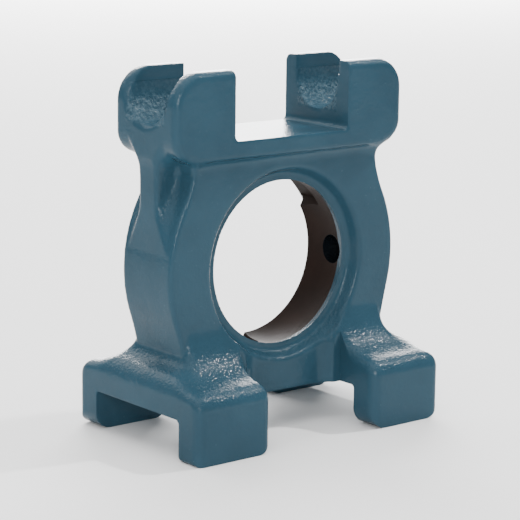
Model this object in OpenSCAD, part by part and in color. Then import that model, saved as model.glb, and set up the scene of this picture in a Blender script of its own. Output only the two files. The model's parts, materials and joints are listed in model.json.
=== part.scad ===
// Take-up bearing housing, one grey iron casting.
// Four feet straddle a rail, the hub holds a self-aligning insert bearing, and two slotted
// lug blocks on top hold the nut and the adjusting screw.
// X runs along the rail, Y along the bearing axis with the front at -Y, Z is up.
// The origin is on the plane that the feet stand on, under the centre of the bore.

/* [Bearing seat] */
// Diameter of the spherical seat
seat_d = 52; // [46:0.5:56]
// Width of the seat between its two rims
seat_w = 16; // [12:0.5:18]
// Height of the bore centre above the feet
bore_h = 50.7; // [49:0.1:53]
// Flat rim round the seat, across
rim_w = 2.3; // [1.5:0.1:3.5]
// How far the mouth widens from the rim to the face
mouth_flare = 1.8; // [0:0.1:3]
// Width of the two loading slots behind the seat
load_slot_w = 24.5; // [18:0.5:26]
// Distance across the bottoms of the two loading slots
load_slot_d = 56.4; // [53:0.2:57]
// Angle of the loading slots round the bore
load_slot_turn = 60; // [45:1:75]
// Diameter of the grease hole
grease_d = 8.8; // [5:0.1:9]
// Grease hole's distance in front of the middle of the seat
grease_shift = 2.3; // [0:0.1:3]

/* [Hub and body] */
// Diameter of the hub
hub_d = 85; // [78:0.2:88]
// Thickness of the body and hub
body_t = 23.6; // [20:0.2:26]
// Width of the neck between hub and lug blocks
neck_w = 70; // [60:0.5:72]
// Width of the thin web on the middle plane
web_w = 83; // [80:0.5:84]
// Thickness of the thin web
web_t = 8.2; // [5:0.1:12]
// Width of the waist above the feet
waist_w = 76.6; // [70:0.2:80]
// Rounding of the hub and body edges
body_edge_r = 1.2; // [0.5:0.1:2]

/* [Lug blocks] */
// Length over both lug blocks
head_l = 86; // [84:0.2:92]
// How far the lug blocks and web are cast to the left of the bore's centre
head_shift = 0.8; // [0:0.1:2]
// Thickness of the lug blocks
head_w = 29.7; // [28:0.1:36]
// Overall height
total_h = 110; // [106:0.5:116]
// Height of the nut gap's floor above the feet
floor_h = 89.5; // [88:0.1:92]
// Thickness of the ledge under that floor
ledge_t = 4.9; // [3:0.1:6]
// Rounding of the upper outer corners
head_top_r = 10; // [4:0.5:11]
// Rounding of the lower outer corners
head_low_r = 7; // [3:0.5:8]
// Rounding of the upright and upper outer edges
head_edge_r = 2; // [1:0.1:3]
// Fillet where the ledge meets the body
ledge_r = 3; // [1:0.1:3.2]
// Length of the nut gap between the lug blocks
nut_gap = 42.8; // [34:0.2:46]
// Rounding at the foot of the nut gap's walls
gap_r = 1.5; // [0.5:0.1:3]
// Width of the screw slot
screw_slot_w = 18.6; // [14:0.2:20]
// Height of the screw slot's bottom above the feet
screw_slot_h = 94.6; // [92:0.2:98]
// Depth of the smooth upper part of the screw slot
land_h = 4.3; // [2:0.1:5]
// How much wider the smooth upper part is on each side
land_step = 0.5; // [0.2:0.1:1]

/* [Feet and rail groove] */
// Length over the feet
feet_l = 93.6; // [90:0.2:104]
// Thickness over the front and back feet
feet_w = 59.6; // [57:0.2:66]
// Gap between the left and right feet
foot_gap = 39.4; // [32:0.2:46]
// Width of the rail groove
rail_w = 40.8; // [36:0.2:43]
// Depth of the rail groove
rail_h = 12.1; // [9:0.1:13]
// Rounding between rail groove walls and ceiling
rail_r = 1; // [0.3:0.1:2]
// Height of a foot at its outer face
foot_h = 20.6; // [18:0.2:22]
// Height of the foot's end where it meets the waist
foot_end_h = 22; // [20:0.5:24]
// Rounding along the top of a foot's outer face
foot_top_r = 4.5; // [4:0.5:7]
// Rounding along the top of a foot's end
end_r = 6; // [3:0.5:7]
// Rounding of a foot's upright and side edges
foot_edge_r = 3.5; // [2:0.5:4]
// Rounding of the bottom corners of a foot
toe_r = 4; // [2:0.5:7]
// Fillet between the body's face and the top of the feet
shoulder_r = 15; // [10:0.5:17]
// Fillet between the waist and the end of the feet
waist_r = 5; // [4:0.5:9]
// Fillet between the body's face and the side of a foot
root_r = 8.5; // [4:0.5:9]

/* [Hidden] */
$fn = 48;
// Extra length that makes a cut pass cleanly through a face
over = 1;
// Depth that two touching roundings are let into each other, so that they join
tuck = 0.05;
// Turn of the sphere that keeps its seam clear of the slots and the grease hole
seam_turn = 160;
seat_r = seat_d / 2;
hub_r = hub_d / 2;
body_y = body_t / 2;
head_y = head_w / 2;
feet_x = feet_l / 2;
feet_y = feet_w / 2;
gap_x = foot_gap / 2;
waist_x = waist_w / 2;
// Radius of the seat's edge, where the sphere meets the rim
lip_r = sqrt(pow(seat_r, 2) - pow(seat_w / 2, 2));
rim_r = lip_r + rim_w;
mouth_r = rim_r + mouth_flare;
// Underside of the lug blocks
head_low_z = floor_h - ledge_t;
// Height that the hub, neck and web are built from and up to, inside their neighbours
neck_low_z = bore_h + hub_r / 2;
join = (floor_h - head_low_z) / 2;
slot_r = screw_slot_w / 2;
slot_z = screw_slot_h + slot_r;
// Centre of the rounding along a foot's top, and of the shoulder fillet that touches it
top_y = feet_y - foot_top_r;
top_z = foot_h - foot_top_r;
shoulder_y = body_y + shoulder_r;
shoulder_z = top_z + sqrt(pow(shoulder_r + foot_top_r - tuck, 2) - pow(shoulder_y - top_y, 2));
shoulder_tilt = atan2(shoulder_y - top_y, shoulder_z - top_z);
// Centre of the rounding at a foot's end, and of the waist fillet that touches it
end_x = feet_x - end_r;
end_z = foot_end_h - end_r;
curve_x = waist_x + waist_r;
waist_z = end_z + sqrt(pow(waist_r + end_r, 2) - pow(curve_x - end_x, 2));

// Lies an outline drawn in X and Z on the middle plane and gives it a depth to both sides
module front_extrude(depth) {
    rotate([90, 0, 0])
        linear_extrude(depth, center = true)
            children();
}

// Stands an outline drawn in Y and Z across the rail and gives it a length to both sides
module side_extrude(length) {
    rotate([90, 0, 90])
        linear_extrude(length, center = true)
            children();
}

// Repeats a shape on the left and on the right
module both_sides() {
    children();
    mirror([1, 0, 0])
        children();
}

// Repeats a shape at the front and at the back
module both_faces() {
    children();
    mirror([0, 1, 0])
        children();
}

// Filler of a square corner that leaves a hollow fillet of radius r
module fillet(r) {
    difference() {
        square(r);
        translate([r, r])
            circle(r);
    }
}

// Bar profile from s0 to s1 along the axis, with radius r and rounded outer corners c
module bar_profile(r, s0, s1, c) {
    translate([0, s0])
        square([r - c, s1 - s0]);
    translate([0, s0 + c])
        square([r, s1 - s0 - 2 * c]);
    for (s = [s0 + c, s1 - c])
        translate([r - c, s])
            intersection() {
                circle(c);
                translate([c - r, -c])
                    square([r, 2 * c]);
            }
}

// Ring profile from s0 to s1 along the axis, hollow inside radius r, with rounded inner corners c
module ring_profile(r, s0, s1, c, depth) {
    translate([r + c, s0])
        square([depth - c, s1 - s0]);
    translate([r, s0 + c])
        square([depth, s1 - s0 - 2 * c]);
    for (s = [s0 + c, s1 - c])
        translate([r + c, s])
            circle(c);
}

// Turns a profile about a line along X at the given height and depth
module turn_along_x(y, z) {
    translate([0, y, z])
        rotate([0, 90, 0])
            rotate_extrude()
                children();
}

// Front outline of the feet and waist, right half and left half in one
module feet_outline() {
    both_sides() {
        difference() {
            union() {
                square([feet_x, end_z]);
                polygon([[0, end_z], [end_x, end_z], [curve_x, waist_z], [0, waist_z]]);
                translate([end_x, end_z])
                    circle(end_r);
            }
            translate([curve_x, waist_z])
                circle(waist_r);
            translate([feet_x, 0])
                mirror([1, 0])
                    fillet(toe_r);
        }
    }
}

// One foot with its shoulder, at the right and behind the middle plane
module foot() {
    shoulder_depth = shoulder_z - rail_h + foot_top_r;
    // Upright block of the foot, with rounded upright edges
    difference() {
        linear_extrude(top_z) {
            translate([gap_x, body_y])
                square([feet_x - gap_x, feet_y - foot_edge_r - body_y]);
            translate([gap_x + foot_edge_r, body_y])
                square([feet_x - gap_x - 2 * foot_edge_r, feet_y - body_y]);
            for (x = [gap_x + foot_edge_r, feet_x - foot_edge_r])
                translate([x, feet_y - foot_edge_r])
                    circle(foot_edge_r);
        }
        translate([gap_x, feet_y / 2, 0])
            front_extrude(feet_w)
                fillet(toe_r);
    }
    // Rounded top edge
    turn_along_x(top_y, top_z)
        bar_profile(foot_top_r, gap_x, feet_x, foot_edge_r);
    // Shoulder that sweeps from the body's face down to the top of the foot
    intersection() {
        turn_along_x(shoulder_y, shoulder_z)
            ring_profile(shoulder_r, gap_x, feet_x, foot_edge_r, shoulder_depth);
        shoulder_limit(gap_x, feet_x);
    }
    // Fillet between the side of the foot and the body's face
    intersection() {
        difference() {
            turn_along_x(shoulder_y, shoulder_z)
                translate([0, gap_x - root_r])
                    square([shoulder_r + shoulder_depth, root_r + foot_edge_r]);
            turn_along_x(shoulder_y, shoulder_z)
                translate([0, gap_x - root_r - over])
                    square([shoulder_r, root_r + foot_edge_r + 2 * over]);
        }
        shoulder_limit(gap_x - root_r, gap_x + foot_edge_r);
        translate([0, 0, rail_h])
            linear_extrude(shoulder_z - rail_h) {
                translate([gap_x, body_y])
                    mirror([1, 0])
                        fillet(root_r);
                translate([gap_x, body_y])
                    square([foot_edge_r, root_r]);
            }
    }
}

// Space between the body's face and the line where shoulder and top edge touch
module shoulder_limit(x0, x1) {
    intersection() {
        translate([x0, body_y, rail_h])
            cube([x1 - x0, shoulder_r, shoulder_z - rail_h]);
        translate([x0, shoulder_y, shoulder_z])
            rotate([-shoulder_tilt, 0, 0])
                translate([0, -2 * shoulder_r, -2 * (shoulder_r + foot_top_r)])
                    cube([x1 - x0, 2 * shoulder_r, 2 * (shoulder_r + foot_top_r)]);
    }
}

// Hub disc with rounded edges, flat where the floor and the groove cut it
module hub() {
    intersection() {
        translate([0, 0, bore_h])
            rotate([90, 0, 0])
                rotate_extrude()
                    bar_profile(hub_r, -body_y, body_y, body_edge_r);
        translate([-hub_r, -body_y, rail_h])
            cube([hub_d, body_t, floor_h - rail_h]);
    }
}

// Body between hub and feet, with the middle part of the feet's ends
module waist() {
    translate([-waist_x, -body_y, rail_h])
        cube([waist_w, body_t, bore_h - rail_h]);
    translate([-feet_x, -body_y, rail_h])
        cube([feet_l, body_t, waist_z - rail_h]);
}

// Neck between hub and lug blocks, and the thin web outside it
module neck() {
    translate([-neck_w / 2, -body_y, neck_low_z])
        cube([neck_w, body_t, head_low_z + join - neck_low_z]);
    translate([-web_w / 2 - head_shift, -web_t / 2, bore_h])
        cube([web_w, web_t, head_low_z + join - bore_h]);
    both_sides()
        translate([neck_w / 2, 0, head_low_z])
            front_extrude(body_t)
                mirror([0, 1])
                    fillet(ledge_r);
}

// Lug blocks before the gap and the slot are cut
module head() {
    head_x = head_l / 2;
    intersection() {
        front_extrude(head_w) {
            translate([-head_x + head_top_r, head_low_z])
                square([head_l - 2 * head_top_r, total_h - head_low_z]);
            translate([-head_x, head_low_z + head_low_r])
                square([head_l, total_h - head_low_z - head_low_r - head_top_r]);
            both_sides() {
                translate([head_x - head_top_r, total_h - head_top_r])
                    circle(head_top_r);
                translate([head_x - head_low_r, head_low_z + head_low_r])
                    circle(head_low_r);
                translate([head_x - head_top_r - over, head_low_z])
                    square([head_top_r + over - head_low_r, head_low_r]);
            }
        }
        linear_extrude(total_h) {
            translate([-head_x + head_edge_r, -head_y])
                square([head_l - 2 * head_edge_r, head_w]);
            translate([-head_x, -head_y + head_edge_r])
                square([head_l, head_w - 2 * head_edge_r]);
            both_sides()
                for (y = [-head_y + head_edge_r, head_y - head_edge_r])
                    translate([head_x - head_edge_r, y])
                        circle(head_edge_r);
        }
        side_extrude(head_l + 2 * over) {
            top_in = head_y - head_edge_r;
            translate([-head_y, 0])
                square([head_w, total_h - head_edge_r]);
            translate([-top_in, 0])
                square([2 * top_in, total_h]);
            for (y = [-top_in, top_in])
                translate([y, total_h - head_edge_r])
                    circle(head_edge_r);
        }
    }
    // Fillets under the ledge, in front and behind
    both_faces()
        translate([0, body_y, head_low_z])
            side_extrude(neck_w)
                mirror([0, 1])
                    fillet(ledge_r);
}

// Room for the nut between the lug blocks
module nut_gap_cut() {
    half = nut_gap / 2;
    front_extrude(2 * head_w)
        difference() {
            translate([-half, floor_h])
                square([nut_gap, total_h - floor_h + over]);
            both_sides()
                translate([half, floor_h])
                    mirror([1, 0])
                        fillet(gap_r);
        }
}

// Slot for the adjusting screw along both lug blocks
module screw_slot_cut() {
    side_extrude(head_l + 2 * over) {
        translate([0, slot_z])
            circle(slot_r);
        translate([-slot_r, slot_z])
            square([screw_slot_w, total_h + over - slot_z]);
        translate([-slot_r - land_step, total_h - land_h])
            square([screw_slot_w + 2 * land_step, land_h + over]);
    }
}

// Spherical seat, its mouths, the loading slots and the grease hole
module bore_cut() {
    translate([0, 0, bore_h]) {
        intersection() {
            rotate([90, seam_turn, 0])
                sphere(seat_r);
            cube([seat_d, seat_w, seat_d], center = true);
        }
        both_faces()
            rotate([-90, 0, 0])
                rotate_extrude()
                    polygon([[0, seat_w / 2], [rim_r, seat_w / 2],
                             [mouth_r, body_y], [mouth_r, feet_y], [0, feet_y]]);
        intersection() {
            rotate([-90, 0, 0])
                cylinder(h = body_y + over, d = load_slot_d);
            rotate([0, -load_slot_turn, 0])
                translate([-mouth_r, 0, -load_slot_w / 2])
                    cube([2 * mouth_r, body_y + over, load_slot_w]);
        }
        translate([0, -grease_shift, 0])
            rotate([0, 90, 0])
                cylinder(h = hub_r + over, d = grease_d);
    }
}

// Groove that the rail runs in, between the front and back feet
module rail_cut() {
    side_extrude(feet_l + 2 * over)
        difference() {
            translate([-rail_w / 2, -over])
                square([rail_w, rail_h + over]);
            for (side = [-1, 1])
                translate([side * rail_w / 2, rail_h])
                    mirror([side > 0 ? 1 : 0, 0])
                        mirror([0, 1])
                            fillet(rail_r);
        }
}

module housing() {
    color("#3f6878")
        difference() {
            union() {
                intersection() {
                    union() {
                        both_sides()
                            both_faces()
                                foot();
                        waist();
                    }
                    front_extrude(feet_w + 2 * over)
                        union() {
                            feet_outline();
                            translate([-waist_x, rail_h])
                                square([waist_w, bore_h - rail_h]);
                        }
                }
                hub();
                neck();
                translate([-head_shift, 0, 0])
                    head();
            }
            translate([-head_shift, 0, 0]) {
                nut_gap_cut();
                screw_slot_cut();
            }
            bore_cut();
            rail_cut();
        }
}

housing();
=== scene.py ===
"""Take-up bearing housing: an iron casting in glossy blue-green enamel, its bearing seat turned and bare.

The casting is one mesh. Its shape is a signed distance: a length for every point of space, below zero in
the iron, made from the part's own sizes with a sand casting's rounded joins, and meshed where it is zero.
Sizes of the casting are in millimetres. Lights, camera and materials are in metres, as the frame is.
In the shape functions ax and ay are the distances from the part's two upright middle planes, xh is the
distance from the lug blocks' own middle, and zb is the height above the bore's centre.
"""
import bpy
import json
import math
import numpy as np
from mathutils import Matrix, Vector


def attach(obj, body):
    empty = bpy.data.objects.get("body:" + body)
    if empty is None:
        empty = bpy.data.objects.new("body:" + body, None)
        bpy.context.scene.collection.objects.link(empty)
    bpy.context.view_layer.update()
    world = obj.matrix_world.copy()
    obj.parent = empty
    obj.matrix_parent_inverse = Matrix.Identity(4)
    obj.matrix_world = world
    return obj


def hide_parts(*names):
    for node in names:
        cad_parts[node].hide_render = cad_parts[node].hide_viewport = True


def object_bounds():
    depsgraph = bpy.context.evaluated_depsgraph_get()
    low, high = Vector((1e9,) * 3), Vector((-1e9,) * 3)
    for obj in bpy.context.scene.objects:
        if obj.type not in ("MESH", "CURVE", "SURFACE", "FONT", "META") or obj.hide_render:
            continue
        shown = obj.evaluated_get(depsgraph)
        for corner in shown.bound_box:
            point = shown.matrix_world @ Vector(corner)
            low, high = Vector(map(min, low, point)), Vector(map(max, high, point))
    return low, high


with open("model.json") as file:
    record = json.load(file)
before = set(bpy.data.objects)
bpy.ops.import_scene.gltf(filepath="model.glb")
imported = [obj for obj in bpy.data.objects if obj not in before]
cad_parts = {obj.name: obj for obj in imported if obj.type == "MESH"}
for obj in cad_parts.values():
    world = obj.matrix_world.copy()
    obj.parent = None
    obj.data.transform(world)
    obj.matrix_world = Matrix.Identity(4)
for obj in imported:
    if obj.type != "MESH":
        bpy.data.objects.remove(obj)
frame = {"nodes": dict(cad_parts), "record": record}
CAD_BOUNDS = [list(map(float, v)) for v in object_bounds()]
MM = 0.001

# Places that the frame gives

CAD_LOW, CAD_HIGH = (np.array(v) / MM for v in CAD_BOUNDS)
HALF_L, HALF_W, TOTAL_H = CAD_HIGH
MOUNT = {m["name"]: np.array(m["pos_m"]) / MM for m in frame["record"]["mounts"]}
BORE_Z = MOUNT["bearing_seat"][2]
GREASE_Y = MOUNT["grease_hole"][1]
RAIL_Z = MOUNT["rail_ceiling"][2]
HEAD_X, GAP_Z = MOUNT["nut_floor"][[0, 2]]
TROUGH_Z = MOUNT["screw_slots"][2]

# Hub, body and web

HUB_R = 42.8
HUB_X = -0.5
BODY_HALF = 11.8
BODY_EDGE_R = 1.2
NECK_HALF = 35.0
NECK_SPAN = (52.0, 92.0)
NECK_R = 3.0
WAIST_HALF = 38.3
WAIST_TOP = 45.0
WAIST_R = 2.5
WEB_LOW_HALF = 42.0
WEB_TOP_HALF = 43.0
WEB_WIDENS = (78.0, 92.0)
WEB_SPAN = (55.0, 93.0)
WEB_HALF_T = 4.4
WEB_ROOT_HALF_T = 10.4
WEB_ROOT_R = (6.0, 2.2)
WEB_ROOT_FADES = (66.0, 78.0)
WEB_EDGE_R = (0.02, 1.22)
WEB_EDGE_GROWS = (60.0, 68.0)

# Lug blocks, nut gap and screw troughs

HEAD_HALF = 43.0
HEAD_HALF_W = 14.85
HEAD_LOW = 84.6
HEAD_TOP_R_LEFT = 10.0
HEAD_TOP_R_RIGHT = 9.0
HEAD_LOW_R = 6.8
HEAD_EDGE_R = (0.9, 2.3)
HEAD_EDGE_GROWS_UP = (89.0, 93.0)
HEAD_EDGE_GROWS_OUT = (30.0, 37.0)
LEDGE_R = (3.6, 4.6)
LEDGE_GROWS_OUT = (28.0, 34.0)
GAP_HALF = 21.4
GAP_CORNER_R = 1.6
GAP_EDGE_R = 0.6
TROUGH_R = 9.3
LAND_HALF = 9.8
LAND_Z = 105.7
TROUGH_EDGE_R = (0.7, 2.2)
TROUGH_OPENS_OUT = (36.0, 41.0)

# Feet and rail groove

FOOT_TOP = 20.6
FOOT_END_TOP = 24.0
SHOULDER_R = 15.5
FOOT_SIDE_R = 5.0
FOOT_ROOT_R = 4.5
FOOT_END_R = 6.8
FOOT_GAP_HALF = 19.7
GAP_ROOT_R = 8.5
FOOT_CORNER_R = 2.8
FOOT_INNER_R = 3.2
TOE_R = 5.4
TOE_FRONT_LEFT_R = 1.5
TOE_INNER_R = 5.0
TOE_INNER_FROM = 14.0
RAIL_HALF = 20.4
RAIL_CORNER_R = 1.2
RAIL_EDGE_R = 0.5

# Bearing seat, loading slots and grease hole

SEAT_R = 26.0
SEAT_HALF = 8.0
RIM_R = 27.04
MOUTH_LEAN = 0.474
MOUTH_SCALE = 0.9
MOUTH_EDGE_R = 0.9
SLOT_R = 28.2
SLOT_HALF = 12.25
SLOT_TURN = math.radians(60)
GREASE_R = 4.4

# The mesh of the casting

CELL = 0.66
MARGIN = 0.8
HALVINGS = 9
CREASE = math.radians(38)
UPWARD_LEAN = (0.12, 0.5)


def ramp(v, low, high):
    """0 below low, 1 above high and straight in between."""
    return np.clip((v - low) / (high - low), 0, 1)


def blend(share, pair):
    """The first of a pair of sizes where share is 0, the second where it is 1."""
    return pair[0] + (pair[1] - pair[0]) * share


def slab(v, low, high):
    """Distance to the space between two planes: distance from the middle, less half the thickness."""
    return np.abs(v - (low + high) / 2) - (high - low) / 2


def join(a, b, r):
    """Both shapes, with a hollow fillet of radius r between them: the larger of r and the nearer distance,
    less the length of the two amounts that each distance is short of r."""
    u = np.maximum(r - a, 0)
    v = np.maximum(r - b, 0)
    return np.maximum(r, np.minimum(a, b)) - np.sqrt(u * u + v * v)


def meet(a, b, r):
    """What two shapes share, with a rounded edge of radius r: the join of their outsides, turned about."""
    return -join(-a, -b, r)


def body_outline(x, z, zb):
    """The body from the front: a circle for the hub, joined to the neck above and the waist below."""
    hub = np.sqrt((x - HUB_X) ** 2 + zb * zb) - HUB_R
    neck = np.maximum(np.abs(x) - NECK_HALF, slab(z, *NECK_SPAN))
    waist = np.maximum(np.abs(x) - WAIST_HALF, z - WAIST_TOP)
    return join(join(hub, neck, NECK_R), waist, WAIST_R)


def web(outline, xh, ay, z):
    """The thin web between hub and lug blocks: a thin plate joined to the body by a fillet that grows
    downwards, inside an outline that widens towards the lug blocks by the curve 3uu - 2uuu."""
    up = ramp(z, *WEB_WIDENS)
    half = blend(up * up * (3 - 2 * up), (WEB_LOW_HALF, WEB_TOP_HALF))
    wide = np.minimum(outline, np.maximum(xh - half, slab(z, *WEB_SPAN)))
    root_r = blend(ramp(z, *WEB_ROOT_FADES), WEB_ROOT_R)
    root = np.maximum(join(outline, ay - WEB_HALF_T, root_r), ay - WEB_ROOT_HALF_T)
    return meet(root, wide, blend(ramp(z, *WEB_EDGE_GROWS), WEB_EDGE_R))


def feet(x, ax, ay, z):
    """Three profiles met with rounded edges: across the rail (side, top and shoulder), along the rail (end,
    top and waist) and the plan (the body with the gap between the feet)."""
    across = meet(join(ay - BODY_HALF, z - FOOT_TOP, SHOULDER_R), ay - HALF_W, FOOT_SIDE_R)
    along = meet(join(ax - WAIST_HALF, z - FOOT_END_TOP, FOOT_ROOT_R), ax - HALF_L, FOOT_END_R)
    plan = join(ay - BODY_HALF, FOOT_GAP_HALF - ax, GAP_ROOT_R)
    shape = meet(meet(across, along, FOOT_CORNER_R), plan, FOOT_INNER_R)
    return np.maximum(shape, z - WAIST_TOP)


def toes(x, ax, y, ay, z):
    """The plane that the feet stand on, met with their end faces and, beside the rail, with their inner
    faces. The front left toe is nearly square."""
    front_left = (x < 0) & (y < 0)
    outer = meet(-z, ax - HALF_L, np.where(front_left, TOE_FRONT_LEFT_R, TOE_R))
    inner = meet(-z, FOOT_GAP_HALF - ax, TOE_INNER_R)
    return np.where(ay > TOE_INNER_FROM, np.maximum(outer, inner), outer)


def lug_blocks(x, xh, ay, z):
    """One long block with round corners. Its edges are crisper low down in the middle than at the lugs."""
    lugs = np.maximum(ramp(z, *HEAD_EDGE_GROWS_UP), ramp(xh, *HEAD_EDGE_GROWS_OUT))
    top_r = np.where(x > 0, HEAD_TOP_R_RIGHT, HEAD_TOP_R_LEFT)
    shape = meet(meet(xh - HEAD_HALF, z - TOTAL_H, top_r), HEAD_LOW - z, HEAD_LOW_R)
    return meet(shape, ay - HEAD_HALF_W, blend(lugs, HEAD_EDGE_R))


def under_lugs(body, head, xh, ay):
    """The body and the lug blocks, the fillet between them kept inside the blocks' length and width."""
    fillet = join(body, head, blend(ramp(xh, *LEDGE_GROWS_OUT), LEDGE_R))
    within = np.maximum(xh - HEAD_HALF, ay - HEAD_HALF_W)
    return np.minimum(np.minimum(body, head), np.maximum(fillet, within))


def cut_grooves(body, y, z, xh, ay):
    """Takes away the rail groove, the nut gap and the screw troughs with the landings above them."""
    body = meet(body, -meet(ay - RAIL_HALF, z - RAIL_Z, RAIL_CORNER_R), RAIL_EDGE_R)
    body = meet(body, -meet(xh - GAP_HALF, GAP_Z - z, GAP_CORNER_R), GAP_EDGE_R)
    trough = np.where(z < TROUGH_Z, np.sqrt(y * y + (z - TROUGH_Z) ** 2), ay) - TROUGH_R
    landing = np.maximum(ay - LAND_HALF, LAND_Z - z)
    edge_r = blend(ramp(xh, *TROUGH_OPENS_OUT), TROUGH_EDGE_R)
    return meet(body, -np.minimum(trough, landing), edge_r)


def cut_bore(body, x, y, zb, ay):
    """Takes away the flared mouths, the seat's ball, the loading slots behind it and the grease hole. The
    mouths grow outwards by MOUTH_LEAN, and MOUTH_SCALE, about the cosine of that slope, turns a length
    across the bore into a distance from their cone."""
    ring = np.sqrt(x * x + zb * zb)
    flare = MOUTH_LEAN * np.clip(ay - SEAT_HALF, 0, BODY_HALF - SEAT_HALF)
    cone = (ring - RIM_R - flare) * MOUTH_SCALE
    body = meet(body, -meet(cone, SEAT_HALF - ay, MOUTH_EDGE_R), MOUTH_EDGE_R)
    ball = np.sqrt(x * x + y * y + zb * zb) - SEAT_R
    aside = np.abs(x * math.sin(SLOT_TURN) - zb * math.cos(SLOT_TURN))
    slots = np.maximum(np.maximum(ring - SLOT_R, aside - SLOT_HALF), -y)
    grease = np.maximum(np.sqrt((y - GREASE_Y) ** 2 + zb * zb) - GREASE_R, -x)
    return np.maximum(body, -np.minimum(np.minimum(ball, slots), grease))


def casting(x, y, z):
    """Signed distance to the surface of the finished casting, no larger than the frame's box."""
    ax, ay, zb = np.abs(x), np.abs(y), z - BORE_Z
    xh = np.abs(x - HEAD_X)
    outline = body_outline(x, z, zb)
    plate = meet(outline, ay - BODY_HALF, BODY_EDGE_R)
    low = np.maximum(feet(x, ax, ay, z), toes(x, ax, y, ay, z))
    body = np.minimum(np.minimum(plate, web(outline, xh, ay, z)), low)
    body = under_lugs(body, lug_blocks(x, xh, ay, z), xh, ay)
    body = cut_bore(cut_grooves(body, y, z, xh, ay), x, y, zb, ay)
    box = np.maximum(np.maximum(ax - HALF_L, ay - HALF_W), slab(z, 0, TOTAL_H))
    return np.maximum(body, box)


def slope(f, points, step=0.02):
    """Direction in which f grows at each point: its change over a short step each way, made unit length."""
    change = np.empty_like(points)
    for axis in range(3):
        ahead, behind = points.copy(), points.copy()
        ahead[:, axis] += step
        behind[:, axis] -= step
        change[:, axis] = f(*ahead.T) - f(*behind.T)
    return change / np.maximum(np.linalg.norm(change, axis=1), 1e-9)[:, None]


def crossings(f, grid, start, cell, axis):
    """The grid's edges along one axis that the surface cuts: the index of each edge's first end, the point
    where f is zero, found by halving the edge again and again, and whether the first end lies outside."""
    first = np.take(grid, np.arange(grid.shape[axis] - 1), axis=axis)
    second = np.take(grid, np.arange(1, grid.shape[axis]), axis=axis)
    at = np.argwhere((first < 0) != (second < 0))
    outside = first[tuple(at.T)] >= 0
    point = start + at * cell
    near, far = np.zeros(len(at)), np.full(len(at), cell)
    for _ in range(HALVINGS):
        middle = point.copy()
        middle[:, axis] += (near + far) / 2
        same = (f(*middle.T) >= 0) == outside
        near, far = np.where(same, (near + far) / 2, near), np.where(same, far, (near + far) / 2)
    point[:, axis] += (near + far) / 2
    return at, point, outside


def corners(centre, owner, point, plane, cell):
    """One corner for each cell: the place nearest to all the tangent planes at the crossings of its edges,
    by least squares, with a light pull to the crossings' mean, and kept about inside the cell."""
    pull, reach = 0.06, 0.55
    offset = point - centre[owner]

    def total(values):
        return np.bincount(owner, weights=values, minlength=len(centre))

    mean = np.stack([total(column) for column in offset.T], 1) / total(np.ones(len(owner)))[:, None]
    square = np.stack([[total(a * b) for a in plane.T] for b in plane.T]).transpose(2, 0, 1)
    level = (plane * offset).sum(1)
    wanted = np.stack([total(column * level) for column in plane.T], 1)
    missing = wanted - np.einsum("kij,kj->ki", square, mean)
    shift = np.linalg.solve(square + pull * np.eye(3), missing[:, :, None])[:, :, 0]
    return centre + np.clip(mean + shift, -reach * cell, reach * cell)


def contour(f, low, high, cell):
    """Quads on the surface f = 0. Each cell of a cubic grid that the surface passes through has one corner,
    and each grid edge that it cuts gives a quad through the four cells round that edge, facing outwards."""
    axes = [np.arange(low[a], high[a] + cell, cell) for a in range(3)]
    grid = f(axes[0][:, None, None], axes[1][None, :, None], axes[2][None, None, :])
    start = np.array([line[0] for line in axes])
    unit = np.eye(3, dtype=int)
    cells, points, turned = [], [], []
    for axis in range(3):
        at, point, outside = crossings(f, grid, start, cell, axis)
        b, c = unit[(axis + 1) % 3], unit[(axis + 2) % 3]
        around = [np.ravel_multi_index((at - step).T, grid.shape) for step in (0 * b, b, b + c, c)]
        cells.append(np.stack(around, 1))
        points.append(point)
        turned.append(outside)
    used, quads = np.unique(np.concatenate(cells), return_inverse=True)
    quads = quads.reshape(-1, 4)
    points = np.concatenate(points)
    centre = start + cell * (np.stack(np.unravel_index(used, grid.shape), 1) + 0.5)
    plane = slope(f, points)
    verts = corners(centre, quads.T.ravel(), np.tile(points, (4, 1)), np.tile(plane, (4, 1)), cell)
    turned = np.concatenate(turned)
    quads[turned] = quads[turned][:, ::-1]
    return verts, quads


def mesh_piece(name, verts, quads):
    """A mesh object from arrays in millimetres, shaded smooth, with sharp edges kept crisp."""
    mesh = bpy.data.meshes.new(name)
    mesh.vertices.add(len(verts))
    mesh.vertices.foreach_set("co", (verts * MM).astype(np.float32).ravel())
    mesh.loops.add(quads.size)
    mesh.loops.foreach_set("vertex_index", quads.astype(np.int32).ravel())
    mesh.polygons.add(len(quads))
    mesh.polygons.foreach_set("loop_start", np.arange(0, quads.size, 4, dtype=np.int32))
    mesh.update(calc_edges=True)
    mesh.validate()
    mesh.polygons.foreach_set("use_smooth", np.ones(len(mesh.polygons), bool))
    mesh.set_sharp_from_angle(angle=CREASE)
    piece = bpy.data.objects.new(name, mesh)
    bpy.context.scene.collection.objects.link(piece)
    return piece


def cast_body():
    """The whole casting. For the enamel, the mesh keeps how far each of its places faces upwards."""
    verts, quads = contour(casting, CAD_LOW - MARGIN, CAD_HIGH + MARGIN, CELL)
    verts = np.clip(verts, CAD_LOW, CAD_HIGH)
    piece = mesh_piece("cast_body", verts, quads)
    upward = ramp(slope(casting, verts)[:, 2], *UPWARD_LEAN)
    shares = piece.data.attributes.new("upward", "FLOAT", "POINT")
    shares.data.foreach_set("value", upward.astype(np.float32))
    return piece


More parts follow.
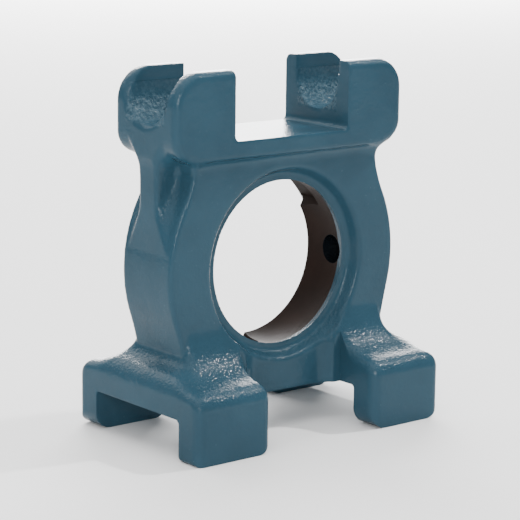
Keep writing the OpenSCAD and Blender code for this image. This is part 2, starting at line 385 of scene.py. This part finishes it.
class Tree:
    """Short names for building a material's nodes on Object coordinates."""

    def __init__(self, material):
        material.use_nodes = True
        self.shader_tree = material.node_tree
        self.shader_tree.nodes.clear()
        self.object = self.shader_tree.nodes.new("ShaderNodeTexCoord").outputs["Object"]

    def put(self, socket, value):
        if isinstance(value, bpy.types.NodeSocket):
            self.shader_tree.links.new(value, socket)
        else:
            socket.default_value = value

    def node(self, kind, **values):
        made = self.shader_tree.nodes.new(kind)
        for name, value in values.items():
            self.put(made.inputs[name.replace("_", " ")], value)
        return made

    def math(self, operation, a, b=0.0):
        made = self.shader_tree.nodes.new("ShaderNodeMath")
        made.operation = operation
        self.put(made.inputs[0], a)
        self.put(made.inputs[1], b)
        return made.outputs[0]

    def product(self, first, *others):
        for other in others:
            first = self.math("MULTIPLY", first, other)
        return first

    def sum(self, first, *others):
        for other in others:
            first = self.math("ADD", first, other)
        return first

    def length(self, *parts):
        return self.math("SQRT", self.sum(*[self.product(part, part) for part in parts]))

    def step(self, value, start, end):
        """0 up to start, 1 from end on and straight in between, whichever of the two is larger."""
        return self.node("ShaderNodeMapRange", Value=value, From_Min=start, From_Max=end).outputs[0]

    def noise(self, scale, detail=2.0, rough=0.5):
        size = {"Scale": scale, "Detail": detail, "Roughness": rough}
        return self.node("ShaderNodeTexNoise", Vector=self.object, **size).outputs["Fac"]

    def between(self, share, a, b):
        """a where share is 0, b where it is 1, for two numbers, two colours or two directions. The node has
        its own inputs and output for each of these kinds."""
        made = self.shader_tree.nodes.new("ShaderNodeMix")
        colour = isinstance(a, tuple) or getattr(a, "type", "") == "RGBA"
        direction = getattr(a, "type", "") == "VECTOR"
        made.data_type = "RGBA" if colour else "VECTOR" if direction else "FLOAT"
        first, output = {"FLOAT": (2, 0), "VECTOR": (4, 1), "RGBA": (6, 2)}[made.data_type]
        self.put(made.inputs[0], share)
        self.put(made.inputs[first], a)
        self.put(made.inputs[first + 1], b)
        return made.outputs[output]

    def bump(self, height, distance=MM, strength=1.0):
        return self.node("ShaderNodeBump", Strength=strength, Distance=distance, Height=height).outputs[0]

    def surface(self, **values):
        shader = self.node("ShaderNodeBsdfPrincipled", **values)
        output = self.shader_tree.nodes.new("ShaderNodeOutputMaterial")
        self.put(output.inputs[0], shader.outputs[0])


def seat_share(tree, x, y, ay, zb):
    """1 on bare iron: the ball of the seat between its rims and the loading slots, apart from the front two
    millimetres of the seat, which the enamel runs over."""
    near, hair = 0.06, 0.02
    enamel_ends, enamel_fade = -6.0, 0.4
    on_ball = tree.math("LESS_THAN", tree.length(x, y, zb), (SEAT_R + 2 * near) * MM)
    ball = tree.product(on_ball, tree.math("LESS_THAN", ay, (SEAT_HALF + hair) * MM))
    turned_x, turned_z = tree.product(x, math.sin(SLOT_TURN)), tree.product(zb, math.cos(SLOT_TURN))
    across = tree.math("SUBTRACT", turned_x, turned_z)
    beside = tree.math("LESS_THAN", tree.math("ABSOLUTE", across), (SLOT_HALF + near) * MM)
    inside = tree.math("LESS_THAN", tree.length(x, zb), (SLOT_R + near) * MM)
    slots = tree.product(beside, inside, tree.math("GREATER_THAN", y, -hair * MM))
    behind_enamel = tree.step(y, enamel_ends * MM, (enamel_ends + enamel_fade) * MM)
    return tree.product(tree.math("MAXIMUM", ball, slots), behind_enamel)


def grease_share(tree, x, y, zb):
    """1 on the wall of the grease hole, from just inside the seat outwards."""
    near, first_x = 0.06, 24.0
    aside = tree.length(tree.math("SUBTRACT", y, GREASE_Y * MM), zb)
    on_wall = tree.math("LESS_THAN", aside, (GREASE_R + near) * MM)
    return tree.product(on_wall, tree.math("GREATER_THAN", x, first_x * MM))


def trough_share(tree, ay, z):
    """1 in the screw troughs, fading out over about a millimetre at their rims, walls and floor."""
    rim_fade, wall_fade, floor_fade = (0.2, -0.6), (0.3, -0.9), (-0.3, 0.9)
    floor = TROUGH_Z - TROUGH_R
    below_rim = tree.step(z, *[(LAND_Z + shift) * MM for shift in rim_fade])
    between_walls = tree.step(ay, *[(TROUGH_R + shift) * MM for shift in wall_fade])
    above_floor = tree.step(z, *[(floor + shift) * MM for shift in floor_fade])
    return tree.product(below_rim, between_walls, above_floor)


def enamel():
    """Blue-green enamel over the cast skin, with slow swells, a fine peel and a cast grain that shows most
    where the casting faces upwards, coarse sand in the screw troughs with pale specks on it as painted
    glints, the bare iron of the seat, and the grease hole's wall painted near black as painted shade.
    Noise scales are cells to a metre. Depths are millimetres of bump, and a pair of them is for sides and
    undersides first, then for places that face upwards."""
    paint_dark, paint_light = (0.0172, 0.0470, 0.0690, 1), (0.0202, 0.0550, 0.0805, 1)
    # The pale colour for the troughs is painted highlight: specks that stand in for the tiny glints of
    # coarse sand under the gloss.
    fleck_colour, sand_glint_colour = (0.10, 0.17, 0.21, 1), (0.075, 0.125, 0.155, 1)
    iron_dark, iron_light = (0.010, 0.008, 0.0075, 1), (0.027, 0.016, 0.0125, 1)
    # The grease hole's near-black colour, darker than the bare iron, is painted shade of the deep hole.
    hole_shade_colour = (0.004, 0.006, 0.008, 1)
    fleck_strength, sand_glint_strength = 0.15, 0.5
    mottle_scale, fleck_scale, sand_glint_scale, iron_scale = 55.0, 1300.0, 900.0, 90.0
    swell_scale, peel_scale, pit_scale, turning_scale = 170.0, 640.0, 1000.0, 900.0
    swell_depth, peel_depth, grain_depth = (0.14, 0.22), (0.045, 0.07), (0.08, 0.36)
    sand_depth, turning_depth = 0.6, 0.05
    noise_middle, grain_under_gloss = 0.5, 0.5
    paint_roughness, sand_roughness, iron_roughness = 0.24, 0.3, 0.5
    gloss_weight, gloss_roughness, paint_shine = 0.185, 0.10, 0.03

    material = bpy.data.materials.new("enamel")
    tree = Tree(material)
    x, y, z = tree.node("ShaderNodeSeparateXYZ", Vector=tree.object).outputs
    zb = tree.math("SUBTRACT", z, BORE_Z * MM)
    ay = tree.math("ABSOLUTE", y)
    seat = seat_share(tree, x, y, ay, zb)
    trough = trough_share(tree, ay, z)
    lean = tree.node("ShaderNodeAttribute")
    lean.attribute_name = "upward"
    upward = lean.outputs["Fac"]

    mottle = tree.step(tree.noise(mottle_scale, detail=4.0), start=0.35, end=0.65)
    flecks = tree.step(tree.noise(fleck_scale, detail=1.0), start=0.74, end=0.80)
    # Speckle mask for painted glints in the screw troughs.
    sand_glints = tree.step(tree.noise(sand_glint_scale, rough=0.6), start=0.44, end=0.60)
    paint = tree.between(mottle, paint_dark, paint_light)
    paint = tree.between(tree.product(flecks, fleck_strength), paint, fleck_colour)
    # Pale specks mixed into the troughs' paint: painted glints of the sand under the gloss.
    paint = tree.between(tree.product(sand_glints, trough, sand_glint_strength), paint, sand_glint_colour)
    iron = tree.between(tree.noise(iron_scale, detail=3.0), iron_dark, iron_light)
    colour = tree.between(seat, paint, iron)
    # The grease hole's wall is bare iron darkened to near black: painted shade of the deep hole.
    colour = tree.between(grease_share(tree, x, y, zb), colour, hole_shade_colour)

    swell = tree.product(tree.noise(swell_scale), tree.between(upward, *swell_depth))
    peel = tree.product(tree.noise(peel_scale), tree.between(upward, *peel_depth))
    pits = tree.math("SUBTRACT", tree.noise(pit_scale, rough=0.6), noise_middle)
    grain = tree.product(pits, tree.between(upward, *grain_depth))
    smooth = tree.sum(swell, peel, tree.product(pits, trough, sand_depth))
    skin = tree.bump(tree.sum(smooth, tree.product(grain, grain_under_gloss)))
    gloss = tree.bump(tree.sum(smooth, grain))
    waviness = {"Scale": turning_scale, "Distortion": 1.5, "Detail": 1.0}
    turning = tree.node("ShaderNodeTexWave", Vector=tree.object, **waviness)
    turning.bands_direction = "Y"
    turned = tree.bump(turning.outputs["Fac"], distance=turning_depth * MM, strength=0.25)

    roughness = tree.between(seat, tree.between(trough, paint_roughness, sand_roughness), iron_roughness)
    tree.surface(Base_Color=colour, Roughness=roughness, Normal=tree.between(seat, skin, turned),
                 Specular_IOR_Level=paint_shine, Coat_Weight=tree.between(seat, gloss_weight, 0.0),
                 Coat_Roughness=gloss_roughness, Coat_Normal=gloss)
    return material


def paper():
    """The matt pale sheet that the housing stands on."""
    material = bpy.data.materials.new("paper")
    Tree(material).surface(Base_Color=(0.81, 0.81, 0.81, 1), Roughness=0.9)
    return material


def floor_sheet():
    """A flat square sixteen metres across, just under the feet."""
    reach, height = 8.0, -0.05 * MM
    mesh = bpy.data.meshes.new("floor")
    rim = [(x * reach, y * reach, height) for x, y in ((-1, -1), (1, -1), (1, 1), (-1, 1))]
    mesh.from_pydata(rim, [], [(0, 1, 2, 3)])
    mesh.materials.append(paper())
    sheet = bpy.data.objects.new("floor", mesh)
    bpy.context.scene.collection.objects.link(sheet)
    return sheet


def soft_light(name, place, size, power):
    """A square light, its size in metres and its power in watts, turned towards the middle of the part."""
    light = bpy.data.lights.new(name, "AREA")
    light.shape = "SQUARE"
    light.size = size
    light.energy = power
    lamp = bpy.data.objects.new(name, light)
    lamp.location = place
    middle = Vector((0, 0, TOTAL_H / 2 * MM))
    lamp.rotation_euler = (middle - Vector(place)).to_track_quat("-Z", "Y").to_euler()
    bpy.context.scene.collection.objects.link(lamp)


def studio():
    """Large soft lights above, in front, beside and behind, a small one for the glints of the grain, and a
    white sky. The backdrop light is low behind the part and gives the nut gap's floor its white shine."""
    soft_light("top", (0.05, -0.05, 0.90), 0.90, 8.0)
    soft_light("front", (-0.80, -0.95, 0.42), 0.5, 11.0)
    soft_light("spark", (0.62, -0.18, 0.76), 0.05, 7.0)
    soft_light("key", (-0.75, -0.12, 0.80), 1.1, 5.5)
    soft_light("sky", (0.05, 1.05, 0.90), 1.2, 17.0)
    soft_light("backdrop", (1.17, 1.43, 0.58), 1.17, 84.0)
    world = bpy.data.worlds.new("studio")
    world.use_nodes = True
    background = world.node_tree.nodes["Background"]
    background.inputs["Color"].default_value = (1, 1, 1, 1)
    background.inputs["Strength"].default_value = 0.33
    bpy.context.scene.world = world


def photo_camera():
    """Camera at the photograph's angle, distance and tilt."""
    azimuth, elevation, tilt = math.radians(-39.11), math.radians(11.54), math.radians(0.65)
    target, distance = Vector((-0.72, 0.13, 49.92)) * MM, 649.47 * MM
    sensor, focal_pixels, picture_width = 36.0, 2153.07, 520
    flat = math.cos(elevation)
    back = Vector((math.sin(azimuth) * flat, -math.cos(azimuth) * flat, math.sin(elevation)))
    level = Vector((math.cos(azimuth), math.sin(azimuth), 0))
    rise = back.cross(level)
    right = level * math.cos(tilt) + rise * math.sin(tilt)
    up = rise * math.cos(tilt) - level * math.sin(tilt)
    lens = bpy.data.cameras.new("camera")
    lens.sensor_width = sensor
    lens.lens = focal_pixels / picture_width * sensor
    lens.clip_start = 0.01
    lens.clip_end = 40
    camera = bpy.data.objects.new("camera", lens)
    turn = Matrix((right, up, back)).transposed().to_4x4()
    turn.translation = target + back * distance
    camera.matrix_world = turn
    bpy.context.scene.collection.objects.link(camera)
    bpy.context.scene.camera = camera


body = cast_body()
coat = enamel()
body.data.materials.append(coat)
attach(body, "root")
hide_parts("housing")
housing = frame["nodes"]["housing"]
for i in range(len(housing.data.materials)):
    housing.data.materials[i] = coat

floor_sheet()
studio()
photo_camera()
